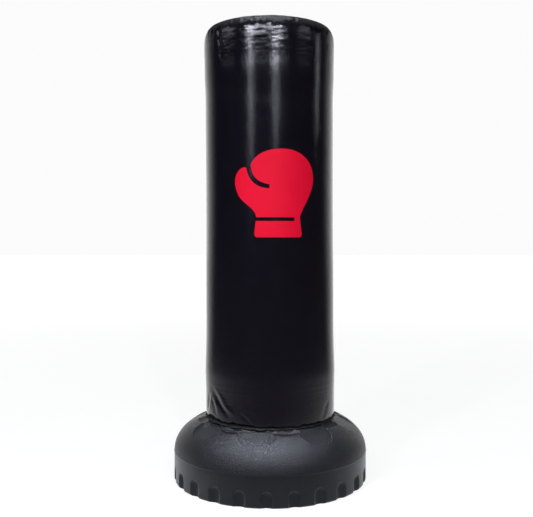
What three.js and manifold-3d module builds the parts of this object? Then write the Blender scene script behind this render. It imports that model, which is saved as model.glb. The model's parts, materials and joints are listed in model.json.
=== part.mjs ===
// A free-standing punch bag. A hollow plastic base filled with sand carries a threaded neck, and a
// foam bag in a zipped vinyl cover screws down onto that neck.
//
// Millimetres, +Z up. The origin is on the bag's axis at floor level, and the front faces -Y.
// An azimuth is an angle about the axis, in degrees, from the front and positive towards +X.

import * as THREE from 'three';
import { mergeVertices } from 'three/addons/utils/BufferGeometryUtils.js';
import Module from 'manifold-3d';

const wasm = await Module();
wasm.setup();

// ---------------------------------------------------------------- driving dimensions

const TOTAL_HEIGHT = 1600;
const BASE_RADIUS = 340;
const BAG_RADIUS = 227.5;
const SEAT_HEIGHT = 224; // the flat top of the base, under the bag
const TANK_WALL = 6;
const COVER_THICKNESS = 2;
const GAP = 0.4; // between pieces that only rest on each other

const ROUND = 48; // facets round the outside of the bag and the base
const INNER_ROUND = 24; // facets round the pieces inside them

// ---------------------------------------------------------------- base

const SKIRT_HEIGHT = 104.5; // where the upright skirt turns into the dome
const SKIRT_EDGE = 8; // bevel along the skirt's lower edge
const FOOT = { inner: 238, outer: BASE_RADIUS - SKIRT_EDGE, recess: 10, slope: 13 };
const DOME = { width: 252, height: 134.5, power: 2.16, steps: 5 };

const SCALLOP = { count: 24, azimuth: -1.95, radius: 22.75, depth: 14, centreHeight: 35 };
const FACET = { count: 8, azimuth: -9.45, radius: 59, centre: [250, 204], tilt: 24 };
const DIMPLE = { centre: [240, 219], halfWidth: 49, halfLength: 21, halfDepth: 11 };
const FILLER_FACET = 4; // the facet at the back, which holds the filler spout

const NECK = { radius: 70, wall: 8, top: 322, chamfer: 6 };
const NECK_THREAD = { pitch: 16, depth: 5, rootWidth: 9, crestWidth: 5, clearance: 2 };
const SAND_LEVEL = 170;

// ---------------------------------------------------------------- filler

const SPOUT = { radius: 24, bore: 20, height: 9, outward: 24 };
const SPOUT_THREAD = { pitch: 5, depth: 2, rootWidth: 2.4, crestWidth: 1.2 };
const CAP = { bore: 27.2, outer: 33, top: 14.5, disc: 3.4, bar: [52, 9, 8] };
const GASKET_THICKNESS = 1.6;

// ---------------------------------------------------------------- bag

const SLIP_RING = { inner: 100, outer: 200, thickness: 1.7 };
const COVER_BASE = SEAT_HEIGHT + SLIP_RING.thickness + 2 * GAP; // underside of the bottom panel
const FLANGE = { radius: 205, thickness: 8, bottom: COVER_BASE + 1.8 + GAP };
const FOAM_BASE = FLANGE.bottom + FLANGE.thickness + GAP;
const SOCKET = { bore: 76.5, outer: 88, top: 334 };
const TUBE = { inner: 88.4, outer: 93.4, top: 1525 };
const SCREW = { height: 305, count: 4, shank: 2.2, head: 6, headThickness: 2.6, reach: 80 };

const FOAM = { inner: 98, middle: 150, outer: 222.5, padBase: 1532 };
const WELT = { radius: 211, height: 1583.5, thickness: 2.5 };
const SHOULDER = { height: 40, steps: 4 };
const BOTTOM_WELT = { radius: 222, height: 229.6, thickness: 2.6 };

const ZIP = { bottom: 252, top: 1530, slot: 17, teeth: 3, seam: 1.2 };
const SLIDER = { centre: 271, length: 22, width: 14 };
const PULLER = { length: 32, width: 10, thickness: 1.8 };

const EMBLEM = { x: 12, z: 998, inner: BAG_RADIUS + 0.5, thickness: 0.6 };

// ---------------------------------------------------------------- materials

const finish = (color, roughness, metalness = 0) =>
  new THREE.MeshStandardMaterial({ color, roughness, metalness });

const MATERIALS = {
  mouldedBlack: finish(0x1b1c1f, 0.55),
  cap: finish(0x16171a, 0.5),
  sand: finish(0xb9a071, 0.95),
  rubber: finish(0x101010, 0.85),
  slip: finish(0xd8d8d2, 0.45),
  pipe: finish(0x8d9196, 0.5),
  steel: finish(0xb8babd, 0.35, 0.9),
  denseFoam: finish(0x3a3d42, 0.95),
  softFoam: finish(0x6f7378, 0.95),
  vinyl: finish(0x0b0b0f, 0.3),
  tape: finish(0x121214, 0.9),
  zipTeeth: finish(0x17171a, 0.4),
  zipMetal: finish(0x2a2b2e, 0.35, 0.9),
  emblemRed: finish(0xd8082b, 0.45),
};

// ---------------------------------------------------------------- helpers

const radians = THREE.MathUtils.degToRad;

// The manifold-3d solid of a closed three.js geometry.
function solid(geometry) {
  const bare = geometry.clone();
  bare.deleteAttribute('normal');
  bare.deleteAttribute('uv');
  const merged = mergeVertices(bare, 1e-3);
  const vertProperties = merged.attributes.position.array;
  const triVerts = new Uint32Array(merged.index.array);
  return new wasm.Manifold(new wasm.Mesh({ numProp: 3, vertProperties, triVerts }));
}

// The three.js geometry of a solid, without the slivers that cutting leaves.
function geometryOf(body) {
  const { vertProperties, triVerts } = body.simplify(0.05).getMesh();
  const geometry = new THREE.BufferGeometry();
  geometry.setAttribute('position', new THREE.BufferAttribute(vertProperties, 3));
  geometry.setIndex(new THREE.BufferAttribute(triVerts, 1));
  geometry.computeVertexNormals();
  return geometry;
}

const cut = (body, tools) => tools.reduce((left, tool) => left.subtract(tool), body);

// A solid of revolution about +Z. The [radius, height] points go up the outside and down the inside.
function turned(points, segments = ROUND) {
  const profile = points.map(([r, z]) => new THREE.Vector2(r, z));
  return new THREE.LatheGeometry(profile, segments).rotateX(Math.PI / 2);
}

// A ring of rectangular section.
function ring(inner, outer, bottom, top, segments = ROUND) {
  return turned([[inner, bottom], [outer, bottom], [outer, top], [inner, top], [inner, bottom]], segments);
}

// A welt: a cord of round section laid round the axis.
const welt = ({ radius, height, thickness }) =>
  new THREE.TorusGeometry(radius, thickness, 5, ROUND).translate(0, 0, height);

const upright = (radius, bottom, top, segments) =>
  new THREE.CylinderGeometry(radius, radius, top - bottom, segments)
    .rotateX(Math.PI / 2)
    .translate(0, 0, (bottom + top) / 2);

// A box from its lowest to its highest corner.
function block([x0, y0, z0], [x1, y1, z1]) {
  return new THREE.BoxGeometry(x1 - x0, y1 - y0, z1 - z0)
    .translate((x0 + x1) / 2, (y0 + y1) / 2, (z0 + z1) / 2);
}

// Evenly spaced azimuths, starting from the first.
const azimuths = (count, first) => Array.from({ length: count }, (_, i) => first + (360 * i) / count);

// A right-hand thread's ridge about +Z, from its root radius to its crest radius, as one closed sweep.
function threadRidge({ root, crest, rootWidth, crestWidth, pitch, turns, start, perTurn }) {
  const section = [[root, -rootWidth / 2], [crest, -crestWidth / 2], [crest, crestWidth / 2], [root, rootWidth / 2]];
  if (crest < root) section.reverse();
  const steps = Math.ceil(turns * perTurn);
  const positions = [];
  const index = [];
  for (let i = 0; i <= steps; i++) {
    const turn = (turns * i) / steps;
    const angle = 2 * Math.PI * turn;
    for (const [r, dz] of section) {
      positions.push(r * Math.cos(angle), r * Math.sin(angle), start + pitch * turn + dz);
    }
  }
  for (let i = 0; i < steps; i++) {
    for (let k = 0; k < 4; k++) {
      const [a, b] = [4 * i + k, 4 * i + ((k + 1) % 4)];
      index.push(a, b + 4, b, a, a + 4, b + 4);
    }
  }
  const last = 4 * steps;
  index.push(0, 1, 2, 0, 2, 3, last, last + 2, last + 1, last, last + 3, last + 2);
  const geometry = new THREE.BufferGeometry();
  geometry.setAttribute('position', new THREE.Float32BufferAttribute(positions, 3));
  geometry.setIndex(index);
  return geometry;
}

// ---------------------------------------------------------------- base tank

// Points on the dome from the skirt up to the seat, moved inwards by an offset.
function domePoints(offset) {
  const centre = BASE_RADIUS - DOME.width;
  const [width, height] = [DOME.width - offset, DOME.height - offset];
  const top = SEAT_HEIGHT - offset;
  const rise = Math.asin(((top - SKIRT_HEIGHT) / height) ** (DOME.power / 2));
  return Array.from({ length: DOME.steps }, (_, i) => {
    const t = (rise * i) / (DOME.steps - 1);
    const r = centre + width * Math.cos(t) ** (2 / DOME.power);
    return [r, SKIRT_HEIGHT + height * Math.sin(t) ** (2 / DOME.power)];
  });
}

// The tank's shape without its cut features. At offset 0 it is the outside, and at the wall's
// thickness it is the space inside.
function tankBody(offset) {
  const neck = NECK.radius - (offset ? NECK.wall : 0);
  return solid(turned([
    [0, FOOT.recess + offset],
    [FOOT.inner - FOOT.slope, FOOT.recess + offset],
    [FOOT.inner, offset],
    [FOOT.outer - offset, offset],
    [BASE_RADIUS - offset, SKIRT_EDGE + offset],
    ...domePoints(offset),
    [neck, SEAT_HEIGHT - offset],
    [neck, NECK.top - offset - NECK.chamfer],
    [neck - NECK.chamfer, NECK.top - offset],
    [0, NECK.top - offset],
  ], offset ? INNER_ROUND : ROUND));
}

// An upright ball-nosed groove that bites into the skirt's lower edge. An offset makes it bigger by a wall.
function scallopCutter(offset, sides) {
  const radius = SCALLOP.radius + offset;
  const out = BASE_RADIUS + SCALLOP.radius - SCALLOP.depth;
  const nose = (offset ? [0.5] : [0.33, 0.67]).map((share) => (Math.PI / 2) * share);
  return turned([
    [0, -2 * SCALLOP.radius],
    [radius, -2 * SCALLOP.radius],
    [radius, SCALLOP.centreHeight],
    ...nose.map((t) => [radius * Math.cos(t), SCALLOP.centreHeight + radius * Math.sin(t)]),
    [0, SCALLOP.centreHeight + radius],
  ], sides).translate(0, -out, 0);
}

// Moves a tool made at the origin, with +Z as the facet's normal, onto the facet's middle.
function ontoFacet(geometry) {
  const [r, z] = FACET.centre;
  return geometry.rotateX(radians(FACET.tilt)).translate(0, -r, z);
}

const facetCutter = (offset, sides) =>
  ontoFacet(upright(FACET.radius + offset, -offset, 30, sides));

// A shallow oval hollow between two facets.
function dimpleCutter(offset, sides) {
  const [r, z] = DIMPLE.centre;
  return new THREE.SphereGeometry(1, sides, sides / 2)
    .scale(DIMPLE.halfWidth + offset, DIMPLE.halfLength + offset, DIMPLE.halfDepth + offset)
    .rotateX(radians(FACET.tilt))
    .translate(0, -r, z);
}

// Every moulded feature, as tools to cut from the tank's body or, moved in by a wall, from its inside.
function tankCutters(offset = 0) {
  const sides = offset ? [6, 10, 6] : [10, 20, 8];
  const around = (count, first, make) =>
    azimuths(count, first).map((azimuth) => solid(make().rotateZ(radians(azimuth))));
  return [
    ...around(SCALLOP.count, SCALLOP.azimuth, () => scallopCutter(offset, sides[0])),
    ...around(FACET.count, FACET.azimuth, () => facetCutter(offset, sides[1])),
    ...around(FACET.count, FACET.azimuth + 180 / FACET.count, () => dimpleCutter(offset, sides[2])),
  ];
}

// The frame of the filler spout: +Z is the facet's normal, and the origin is on the facet.
const fillerFrame = new THREE.Matrix4()
  .makeRotationZ(radians(FACET.azimuth + (360 * FILLER_FACET) / FACET.count))
  .multiply(new THREE.Matrix4().makeTranslation(0, -FACET.centre[0], FACET.centre[1]))
  .multiply(new THREE.Matrix4().makeRotationX(radians(FACET.tilt)))
  .multiply(new THREE.Matrix4().makeTranslation(0, -SPOUT.outward, 0));

function baseTank() {
  const cavity = cut(tankBody(TANK_WALL), tankCutters(TANK_WALL));
  const spout = solid(upright(SPOUT.radius, -4, SPOUT.height, 20).applyMatrix4(fillerFrame));
  const bore = solid(upright(SPOUT.bore, -40, SPOUT.height + 4, 20).applyMatrix4(fillerFrame));
  const spoutThread = solid(threadRidge({
    ...SPOUT_THREAD,
    root: SPOUT.radius - 1,
    crest: SPOUT.radius + SPOUT_THREAD.depth,
    turns: 1,
    start: 1.8,
    perTurn: 16,
  }).applyMatrix4(fillerFrame));
  const neckThread = solid(threadRidge({
    ...NECK_THREAD,
    root: NECK.radius - 1,
    crest: NECK.radius + NECK_THREAD.depth,
    turns: 2,
    start: SEAT_HEIGHT + 20,
    perTurn: 12,
  }));
  return geometryOf(cut(tankBody(0), tankCutters())
    .add(spout)
    .add(spoutThread)
    .add(neckThread)
    .subtract(cavity)
    .subtract(bore));
}

// Sand up to its level, clear of the walls and of every feature moulded into them.
function sandBallast() {
  const clear = TANK_WALL + 2;
  const reach = BASE_RADIUS - SCALLOP.depth - clear;
  const above = domePoints(clear + 8).filter(([, z]) => z < SAND_LEVEL);
  return turned([
    [0, FOOT.recess + clear],
    [FOOT.inner - FOOT.slope, FOOT.recess + clear],
    [FOOT.inner, clear],
    [reach, clear],
    [reach, SCALLOP.centreHeight + SCALLOP.radius],
    ...above,
    [above.at(-1)[0] - 6, SAND_LEVEL],
    [0, SAND_LEVEL],
  ], INNER_ROUND);
}

// ---------------------------------------------------------------- filler cap

// In the filler frame. A bar across the top turns the cap by hand.
function fillerCap() {
  const discBottom = CAP.top - CAP.disc;
  const shell = solid(turned([
    [0, discBottom],
    [CAP.bore, discBottom],
    [CAP.bore, 1],
    [CAP.outer, 1],
    [CAP.outer, CAP.top - 2],
    [CAP.outer - 2, CAP.top],
    [0, CAP.top],
  ], 24));
  const thread = solid(threadRidge({
    ...SPOUT_THREAD,
    root: CAP.bore + 1,
    crest: CAP.bore - SPOUT_THREAD.depth,
    turns: 0.9,
    start: 1.8 + SPOUT_THREAD.pitch / 2,
    perTurn: 16,
  }));
  const [length, width, height] = CAP.bar;
  const bar = solid(block([-length / 2, -width / 2, CAP.top - 1], [length / 2, width / 2, CAP.top + height]));
  return geometryOf(shell.add(thread).add(bar));
}

const fillerGasket = () =>
  ring(SPOUT.bore + 0.5, SPOUT.radius - 0.3, SPOUT.height + 0.3, SPOUT.height + 0.3 + GASKET_THICKNESS, 20);

// ---------------------------------------------------------------- bag core

// A tool or a fastener lying along a radius, with its head outwards.
const alongRadius = (geometry, azimuth, height) =>
  geometry.rotateX(Math.PI / 2).translate(0, 0, height).rotateZ(radians(azimuth));

const screwAzimuths = azimuths(SCREW.count, 45);

const screwHoles = (clearance) => screwAzimuths.map((azimuth) =>
  solid(alongRadius(upright(SCREW.shank + clearance, SCREW.reach - 2, TUBE.outer + 4, 8), azimuth, SCREW.height)));

function threadedSocket() {
  const body = solid(turned([
    [SOCKET.bore, FLANGE.bottom],
    [FLANGE.radius, FLANGE.bottom],
    [FLANGE.radius, FLANGE.bottom + FLANGE.thickness],
    [SOCKET.outer, FLANGE.bottom + FLANGE.thickness],
    [SOCKET.outer, SOCKET.top],
    [SOCKET.bore, SOCKET.top],
    [SOCKET.bore, FLANGE.bottom],
  ], INNER_ROUND));
  const thread = solid(threadRidge({
    ...NECK_THREAD,
    root: SOCKET.bore + 1,
    crest: NECK.radius + NECK_THREAD.clearance,
    turns: 2,
    start: SEAT_HEIGHT + 20 + NECK_THREAD.pitch / 2,
    perTurn: 16,
  }));
  return geometryOf(cut(body.add(thread), screwHoles(0.4)));
}

const coreTube = () =>
  geometryOf(cut(solid(ring(TUBE.inner, TUBE.outer, FOAM_BASE, TUBE.top, INNER_ROUND)), screwHoles(0.8)));

// A stepped plug that closes the top of the core tube.
function tubeTopCap() {
  const spigot = TUBE.inner - GAP;
  const disc = TUBE.top + GAP;
  return turned([
    [0, disc], [spigot - 8, disc], [spigot - 8, disc - 22], [spigot, disc - 22], [spigot, disc],
    [TUBE.outer, disc], [TUBE.outer, disc + 5], [0, disc + 5],
  ], INNER_ROUND);
}

function socketScrew(azimuth) {
  const under = TUBE.outer + 0.3;
  const screw = turned([
    [0, SCREW.reach], [SCREW.shank, SCREW.reach + 2], [SCREW.shank, under], [SCREW.head, under],
    [SCREW.head - 1, under + SCREW.headThickness], [0, under + SCREW.headThickness],
  ], 8);
  return alongRadius(screw, azimuth, SCREW.height);
}

// ---------------------------------------------------------------- foam

// The rounded shoulder from the bag's side in to the welt, moved inwards by an offset.
function shoulderPoints(offset) {
  const edge = WELT.radius + WELT.thickness + 0.5;
  const start = WELT.height - SHOULDER.height;
  return Array.from({ length: SHOULDER.steps }, (_, i) => {
    const t = ((Math.PI / 2) * i) / (SHOULDER.steps - 1);
    return [edge + (BAG_RADIUS - offset - edge) * Math.cos(t), start + (SHOULDER.height - offset) * Math.sin(t)];
  });
}

// The crowned top, from the welt in to the axis, moved inwards by an offset.
function crownPoints(offset) {
  const edge = WELT.radius - WELT.thickness - 0.5;
  const rise = TOTAL_HEIGHT - WELT.height - 1;
  return [1, 0.6, 0].map((share) => [edge * share, TOTAL_HEIGHT - offset - rise * share * share]);
}

// The pad over the end of the core fills the rounded shoulder and the crown.
function topFoamPad() {
  const base = FOAM.padBase + GAP;
  return turned([[0, base], [FOAM.outer, base], ...shoulderPoints(BAG_RADIUS - FOAM.outer), ...crownPoints(4)]);
}

// ---------------------------------------------------------------- cover

// The side panel is open down the back, where the zip closes it.
function coverSidePanel() {
  const outline = (offset) => [[BAG_RADIUS - offset - 1.5, 231.5], [BAG_RADIUS - offset, 237], ...shoulderPoints(offset)];
  const outside = outline(0);
  const inside = outline(COVER_THICKNESS).reverse();
  const sleeve = solid(turned([...outside, ...inside, outside[0]]));
  const slot = solid(block([-ZIP.slot / 2, 100, ZIP.bottom - 2], [ZIP.slot / 2, 300, ZIP.top + 4]));
  return geometryOf(sleeve.subtract(slot));
}

const coverTopPanel = () => turned([...crownPoints(COVER_THICKNESS).reverse(), ...crownPoints(0)]);

const coverBottomPanel = () =>
  ring(SLIP_RING.inner, BOTTOM_WELT.radius - BOTTOM_WELT.thickness - 1, COVER_BASE, COVER_BASE + 1.8);

// ---------------------------------------------------------------- zip

const ZIP_FACE = BAG_RADIUS - 0.1; // how far back the teeth reach

// One half of the zip: side is 1 on the right and -1 on the left, seen from the front.
function zipTape(side) {
  const tape = block([ZIP.seam + 0.4, FOAM.outer + 0.6, ZIP.bottom], [17, FOAM.outer + 1.7, ZIP.top]);
  return side > 0 ? tape : tape.rotateZ(Math.PI).translate(0, 2 * FOAM.outer + 2.3, 0);
}

function zipTeeth(side) {
  const [near, far] = [ZIP.seam, ZIP.seam + ZIP.teeth].map((x) => side * x);
  return block([Math.min(near, far), ZIP_FACE - 2.6, ZIP.bottom + 5], [Math.max(near, far), ZIP_FACE, ZIP.top - 5]);
}

const zipStop = (bottom) => block([-5, ZIP_FACE - 2.6, bottom], [5, ZIP_FACE + 0.6, bottom + 4]);

// In the slider's frame: the origin is on the teeth's face, at the slider's middle.
// A plate with a web between the two rows of teeth, a flange outside each, and an arch for the puller.
function zipSlider() {
  const [half, reach] = [SLIDER.length / 2, SLIDER.width / 2];
  const plate = [0.6, 2.6];
  const parts = [
    block([-reach, plate[0], -half], [reach, plate[1], half]),
    block([-0.7, -2.2, -half], [0.7, plate[1], half]),
    block([-reach, -2, -half], [-reach + 2.2, plate[1], half]),
    block([reach - 2.2, -2, -half], [reach, plate[1], half]),
    block([-1.5, 2, -half + 2], [1.5, 7.6, -half + 4]),
    block([-1.5, 2, -1], [1.5, 7.6, 1]),
    block([-1.5, 6.2, -half + 2], [1.5, 7.6, 1]),
  ];
  return geometryOf(parts.map(solid).reduce((all, piece) => all.add(piece)));
}

// In its own frame: the origin is on the crossbar's axis, and the tab hangs down.
function zipPuller() {
  const [half, thick] = [PULLER.width / 2, PULLER.thickness / 2];
  const arm = half - 2;
  const parts = [
    block([-half, -thick, -thick], [half, thick, thick]),
    block([-half, -thick, -14], [-arm, thick, thick]),
    block([arm, -thick, -14], [half, thick, thick]),
    block([-half, -thick, -PULLER.length], [half, thick, -12]),
  ];
  return geometryOf(parts.map(solid).reduce((all, piece) => all.add(piece)));
}

// ---------------------------------------------------------------- emblem

// A plain boxing glove, seen from the side.
function gloveOutline() {
  const glove = new THREE.Shape();
  glove.moveTo(-52, -146);
  glove.lineTo(80, -146);
  glove.quadraticCurveTo(92, -146, 92, -134);
  glove.lineTo(86, -78);
  glove.bezierCurveTo(98, -40, 132, 0, 132, 50);
  glove.bezierCurveTo(132, 110, 92, 146, 30, 146);
  glove.bezierCurveTo(-30, 146, -72, 122, -80, 78);
  glove.bezierCurveTo(-88, 86, -98, 88, -108, 82);
  glove.bezierCurveTo(-134, 64, -134, 20, -112, -14);
  glove.bezierCurveTo(-98, -36, -62, -50, -58, -78);
  glove.lineTo(-64, -134);
  glove.quadraticCurveTo(-64, -146, -52, -146);
  return glove;
}

// The line that sets the thumb off from the fist.
function thumbSlit() {
  const slit = new THREE.Shape();
  slit.moveTo(-92, 96);
  slit.lineTo(-76, 96);
  slit.bezierCurveTo(-74, 60, -60, 36, -14, 28);
  slit.lineTo(-14, 15);
  slit.bezierCurveTo(-68, 18, -88, 50, -92, 96);
  return slit;
}

// The line that sets the cuff off from the hand. It stops short of the far side.
function cuffSlit() {
  const slit = new THREE.Shape();
  slit.moveTo(-80, -92);
  slit.lineTo(68, -92);
  slit.lineTo(68, -80);
  slit.lineTo(-80, -80);
  return slit;
}

// A thin film pressed round the front of the bag.
function emblem() {
  const prism = (shape) =>
    solid(new THREE.ExtrudeGeometry(shape, { depth: 130, bevelEnabled: false, curveSegments: 6 })
      .rotateX(Math.PI / 2)
      .translate(EMBLEM.x, -130, EMBLEM.z));
  const { inner, thickness, z } = EMBLEM;
  const skin = solid(ring(inner, inner + thickness, z - 160, z + 160, 2 * ROUND));
  return geometryOf(cut(skin.intersect(prism(gloveOutline())), [thumbSlit(), cuffSlit()].map(prism)));
}

// ---------------------------------------------------------------- assembly

function part(name, geometry, material) {
  const mesh = new THREE.Mesh(geometry, material);
  mesh.name = name;
  return mesh;
}

function group(...children) {
  const made = new THREE.Group();
  made.add(...children);
  return made;
}

const M = MATERIALS;

const filler = group(
  part('filler_gasket', fillerGasket(), M.rubber),
  part('filler_cap', fillerCap(), M.cap),
);
filler.applyMatrix4(fillerFrame);

const base = group(
  part('base_tank', baseTank(), M.mouldedBlack),
  part('sand_ballast', sandBallast(), M.sand),
  filler,
);

const slipRing = part(
  'slip_ring',
  ring(SLIP_RING.inner, SLIP_RING.outer, SEAT_HEIGHT + GAP, SEAT_HEIGHT + GAP + SLIP_RING.thickness),
  M.slip,
);

const core = group(
  part('threaded_socket', threadedSocket(), M.mouldedBlack),
  part('core_tube', coreTube(), M.pipe),
  part('tube_top_cap', tubeTopCap(), M.mouldedBlack),
  ...screwAzimuths.map((azimuth, i) => part(`socket_screw_${i + 1}`, socketScrew(azimuth), M.steel)),
);

const foam = group(
  part('inner_foam', ring(FOAM.inner, FOAM.middle, FOAM_BASE, TUBE.top, INNER_ROUND), M.denseFoam),
  part('outer_foam', ring(FOAM.middle + 1, FOAM.outer, FOAM_BASE, FOAM.padBase), M.softFoam),
  part('top_foam_pad', topFoamPad(), M.softFoam),
);

const cover = group(
  part('cover_side_panel', coverSidePanel(), M.vinyl),
  part('cover_top_panel', coverTopPanel(), M.vinyl),
  part('cover_bottom_panel', coverBottomPanel(), M.vinyl),
  part('top_welt', welt(WELT), M.vinyl),
  part('bottom_welt', welt(BOTTOM_WELT), M.vinyl),
  part('emblem', emblem(), M.emblemRed),
);

const puller = part('zip_puller', zipPuller(), M.zipMetal);
puller.position.set(0, 4.4, -SLIDER.length / 2 + 5.4);
const slider = group(part('zip_slider', zipSlider(), M.zipMetal), puller);
slider.position.set(0, ZIP_FACE, SLIDER.centre);

const zip = group(
  part('zip_tape_left', zipTape(-1), M.tape),
  part('zip_tape_right', zipTape(1), M.tape),
  part('zip_teeth_left', zipTeeth(-1), M.zipTeeth),
  part('zip_teeth_right', zipTeeth(1), M.zipTeeth),
  part('zip_bottom_stop', zipStop(ZIP.bottom), M.zipMetal),
  part('zip_top_stop', zipStop(ZIP.top - 4), M.zipMetal),
  slider,
);

const bag = group(core, foam, cover, zip);

export default group(base, slipRing, bag);
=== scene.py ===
"""The free standing bag's looks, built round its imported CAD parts.

Metres, +Z up, the front faces -Y. Sizes inside the builders are millimetres, scaled once when a mesh is made.
An azimuth is an angle about the bag's axis from the front, positive towards +X.
"""

import json
import math
from contextlib import contextmanager

import bmesh
import bpy
import numpy as np
from mathutils import Matrix, Vector, noise
from mathutils.geometry import delaunay_2d_cdt


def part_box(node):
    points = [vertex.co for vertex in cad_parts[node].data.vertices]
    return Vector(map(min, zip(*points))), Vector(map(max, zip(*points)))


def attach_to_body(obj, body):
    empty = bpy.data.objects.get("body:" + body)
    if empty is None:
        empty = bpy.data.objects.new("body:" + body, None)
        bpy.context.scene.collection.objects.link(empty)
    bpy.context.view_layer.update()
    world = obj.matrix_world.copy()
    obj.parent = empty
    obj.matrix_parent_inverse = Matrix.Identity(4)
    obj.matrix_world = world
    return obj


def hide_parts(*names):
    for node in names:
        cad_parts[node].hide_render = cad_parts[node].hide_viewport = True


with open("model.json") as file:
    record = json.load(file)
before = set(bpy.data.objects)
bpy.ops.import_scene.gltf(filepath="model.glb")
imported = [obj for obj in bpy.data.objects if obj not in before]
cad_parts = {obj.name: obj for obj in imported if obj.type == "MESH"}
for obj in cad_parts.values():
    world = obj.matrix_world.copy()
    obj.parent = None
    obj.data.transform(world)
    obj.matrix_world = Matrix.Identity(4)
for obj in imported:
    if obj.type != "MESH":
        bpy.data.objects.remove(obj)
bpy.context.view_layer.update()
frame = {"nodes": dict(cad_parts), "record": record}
MM = 0.001

# ---------------------------------------------------------------- sizes, some read off the CAD parts and the rest given


def reach(node):
    """The largest X of a CAD node, and its lowest and highest Z, in millimetres."""
    low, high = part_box(node)
    return high.x / MM, low.z / MM, high.z / MM


BASE_RADIUS, _, NECK_TOP = reach("base_tank")
BAG_RADIUS, COVER_BOTTOM, COVER_TOP = reach("cover_side_panel")
WELT_OUTER, WELT_LOW, WELT_HIGH = reach("top_welt")
WELT_SIZE = (WELT_HIGH - WELT_LOW) / 2
WELT_RADIUS = WELT_OUTER - WELT_SIZE
WELT_HEIGHT = (WELT_HIGH + WELT_LOW) / 2
BAG_TOP = reach("cover_top_panel")[2]

SKIRT_HEIGHT = 104.5
SEAT_HEIGHT = 224
NECK_RADIUS = 70
FOOT_INNER = 238
FOOT_RECESS = 10
SKIRT_EDGE = 10
TANK_WALL = 6
DOME_WIDTH = 252
DOME_HEIGHT = 134.5
DOME_POWER = 2.16

SCALLOPS = 24
SCALLOP_AZIMUTH = -1.95
SCALLOP_RADIUS = 22.75
SCALLOP_AXIS = BASE_RADIUS + 8.75
SCALLOP_CENTRE = 35

FACETS = 8
FACET_AZIMUTH = -9.45
FACET_RADIUS = 59
FACET_CENTRE = (250, 204)
FACET_TILT = math.radians(24)
DIMPLE_CENTRE = (240, 219)
DIMPLE_HALF = (49, 21, 11)
FILLER_OUTWARD = 24

ZIP_SLOT = 17
ZIP_BOTTOM = 252
ZIP_TOP = 1530

# ---------------------------------------------------------------- mesh helpers


def smoothstep(low, high, x):
    t = np.clip((x - low) / (high - low), 0, 1)
    return t * t * (3 - 2 * t)


def soft_min(a, b, k):
    """The smaller of two arrays, rounded over a width k where they meet."""
    h = np.maximum(k - np.abs(a - b), 0) / k
    return np.minimum(a, b) - h * h * k / 4


def around(azimuth, radius, height):
    """Points at an azimuth in radians, as an array whose last axis is x, y, z."""
    azimuth, radius, height = np.broadcast_arrays(azimuth, radius, height)
    return np.stack([radius * np.sin(azimuth), -radius * np.cos(azimuth), height], -1)


def grid_faces(rows, columns, wrap=True):
    i, j = np.meshgrid(np.arange(rows - 1), np.arange(columns if wrap else columns - 1), indexing="ij")
    k = (j + 1) % columns
    quads = [i * columns + j, i * columns + k, (i + 1) * columns + k, (i + 1) * columns + j]
    return np.stack(quads, -1).reshape(-1, 4)


@contextmanager
def edited(mesh):
    """A mesh opened as a bmesh, and written back afterwards."""
    work = bmesh.new()
    work.from_mesh(mesh)
    yield work
    work.to_mesh(mesh)
    work.free()


def mesh_from(work, name):
    """A smooth-shaded mesh from a bmesh, which is then freed."""
    mesh = bpy.data.meshes.new(name)
    work.to_mesh(mesh)
    work.free()
    mesh.shade_smooth()
    return mesh


def link(name, mesh, material):
    mesh.materials.append(material)
    piece = bpy.data.objects.new(name, mesh)
    bpy.context.scene.collection.objects.link(piece)
    return piece


def mesh_piece(name, points, faces, material, weld=False, crisp=None):
    """A smooth-shaded piece from points in millimetres. Edges sharper than crisp degrees stay sharp."""
    mesh = bpy.data.meshes.new(name)
    faces = faces.tolist() if isinstance(faces, np.ndarray) else faces
    mesh.from_pydata((np.asarray(points, float).reshape(-1, 3) * MM).tolist(), [], faces)
    if weld:
        with edited(mesh) as work:
            bmesh.ops.remove_doubles(work, verts=work.verts, dist=1e-6)
            bmesh.ops.dissolve_degenerate(work, edges=work.edges, dist=1e-7)
    mesh.shade_smooth()
    if crisp:
        mesh.set_sharp_from_angle(angle=math.radians(crisp))
    return link(name, mesh, material)


def attach(piece, body, slot, *nodes):
    """A piece rides on a body and stands for the CAD nodes given, which it hides. The slot is not used."""
    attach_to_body(piece, body)
    if nodes:
        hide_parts(*nodes)
    return piece


def outward(piece):
    """Turns every face of a piece's closed shells outwards."""
    with edited(piece.data) as work:
        bmesh.ops.recalc_face_normals(work, faces=work.faces)


def drop_loose(piece):
    """Deletes the points that no face uses."""
    with edited(piece.data) as work:
        bmesh.ops.delete(work, geom=[v for v in work.verts if not v.link_faces], context="VERTS")


def turned(name, profile, columns, material, ripple=None, bend=None):
    """A closed solid of revolution. The (radius, height) profile closes on itself or on the axis."""
    azimuth = np.linspace(0, 2 * math.pi, columns, endpoint=False)
    radius = np.array([[r] for r, _ in profile]) * np.ones(columns)
    height = np.array([[z] for _, z in profile]) * np.ones(columns)
    if ripple:
        radius, height = ripple(azimuth, radius, height)
    points = around(azimuth, radius, height)
    points = bend(points) if bend else points
    piece = mesh_piece(name, points, grid_faces(len(profile), columns), material, weld=True)
    outward(piece)
    return piece


def swept(name, path, section, material, closed=False, bend=None):
    """A tube: a section of (out, up) offsets carried along a path of (azimuth, radius, height) rows."""
    rows = []
    for azimuth, radius, height in path:
        rows.append([around(azimuth, radius + out, height + up) for out, up in section])
    points = np.array(rows)
    if closed:
        points = np.concatenate([points, points[:1]])
    faces = grid_faces(len(points), len(section)).tolist()
    if not closed:
        last = (len(points) - 1) * len(section)
        faces.append(list(range(len(section)))[::-1])
        faces.append([last + k for k in range(len(section))])
    piece = mesh_piece(name, bend(points) if bend else points, faces, material, weld=closed)
    outward(piece)
    return piece


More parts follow.
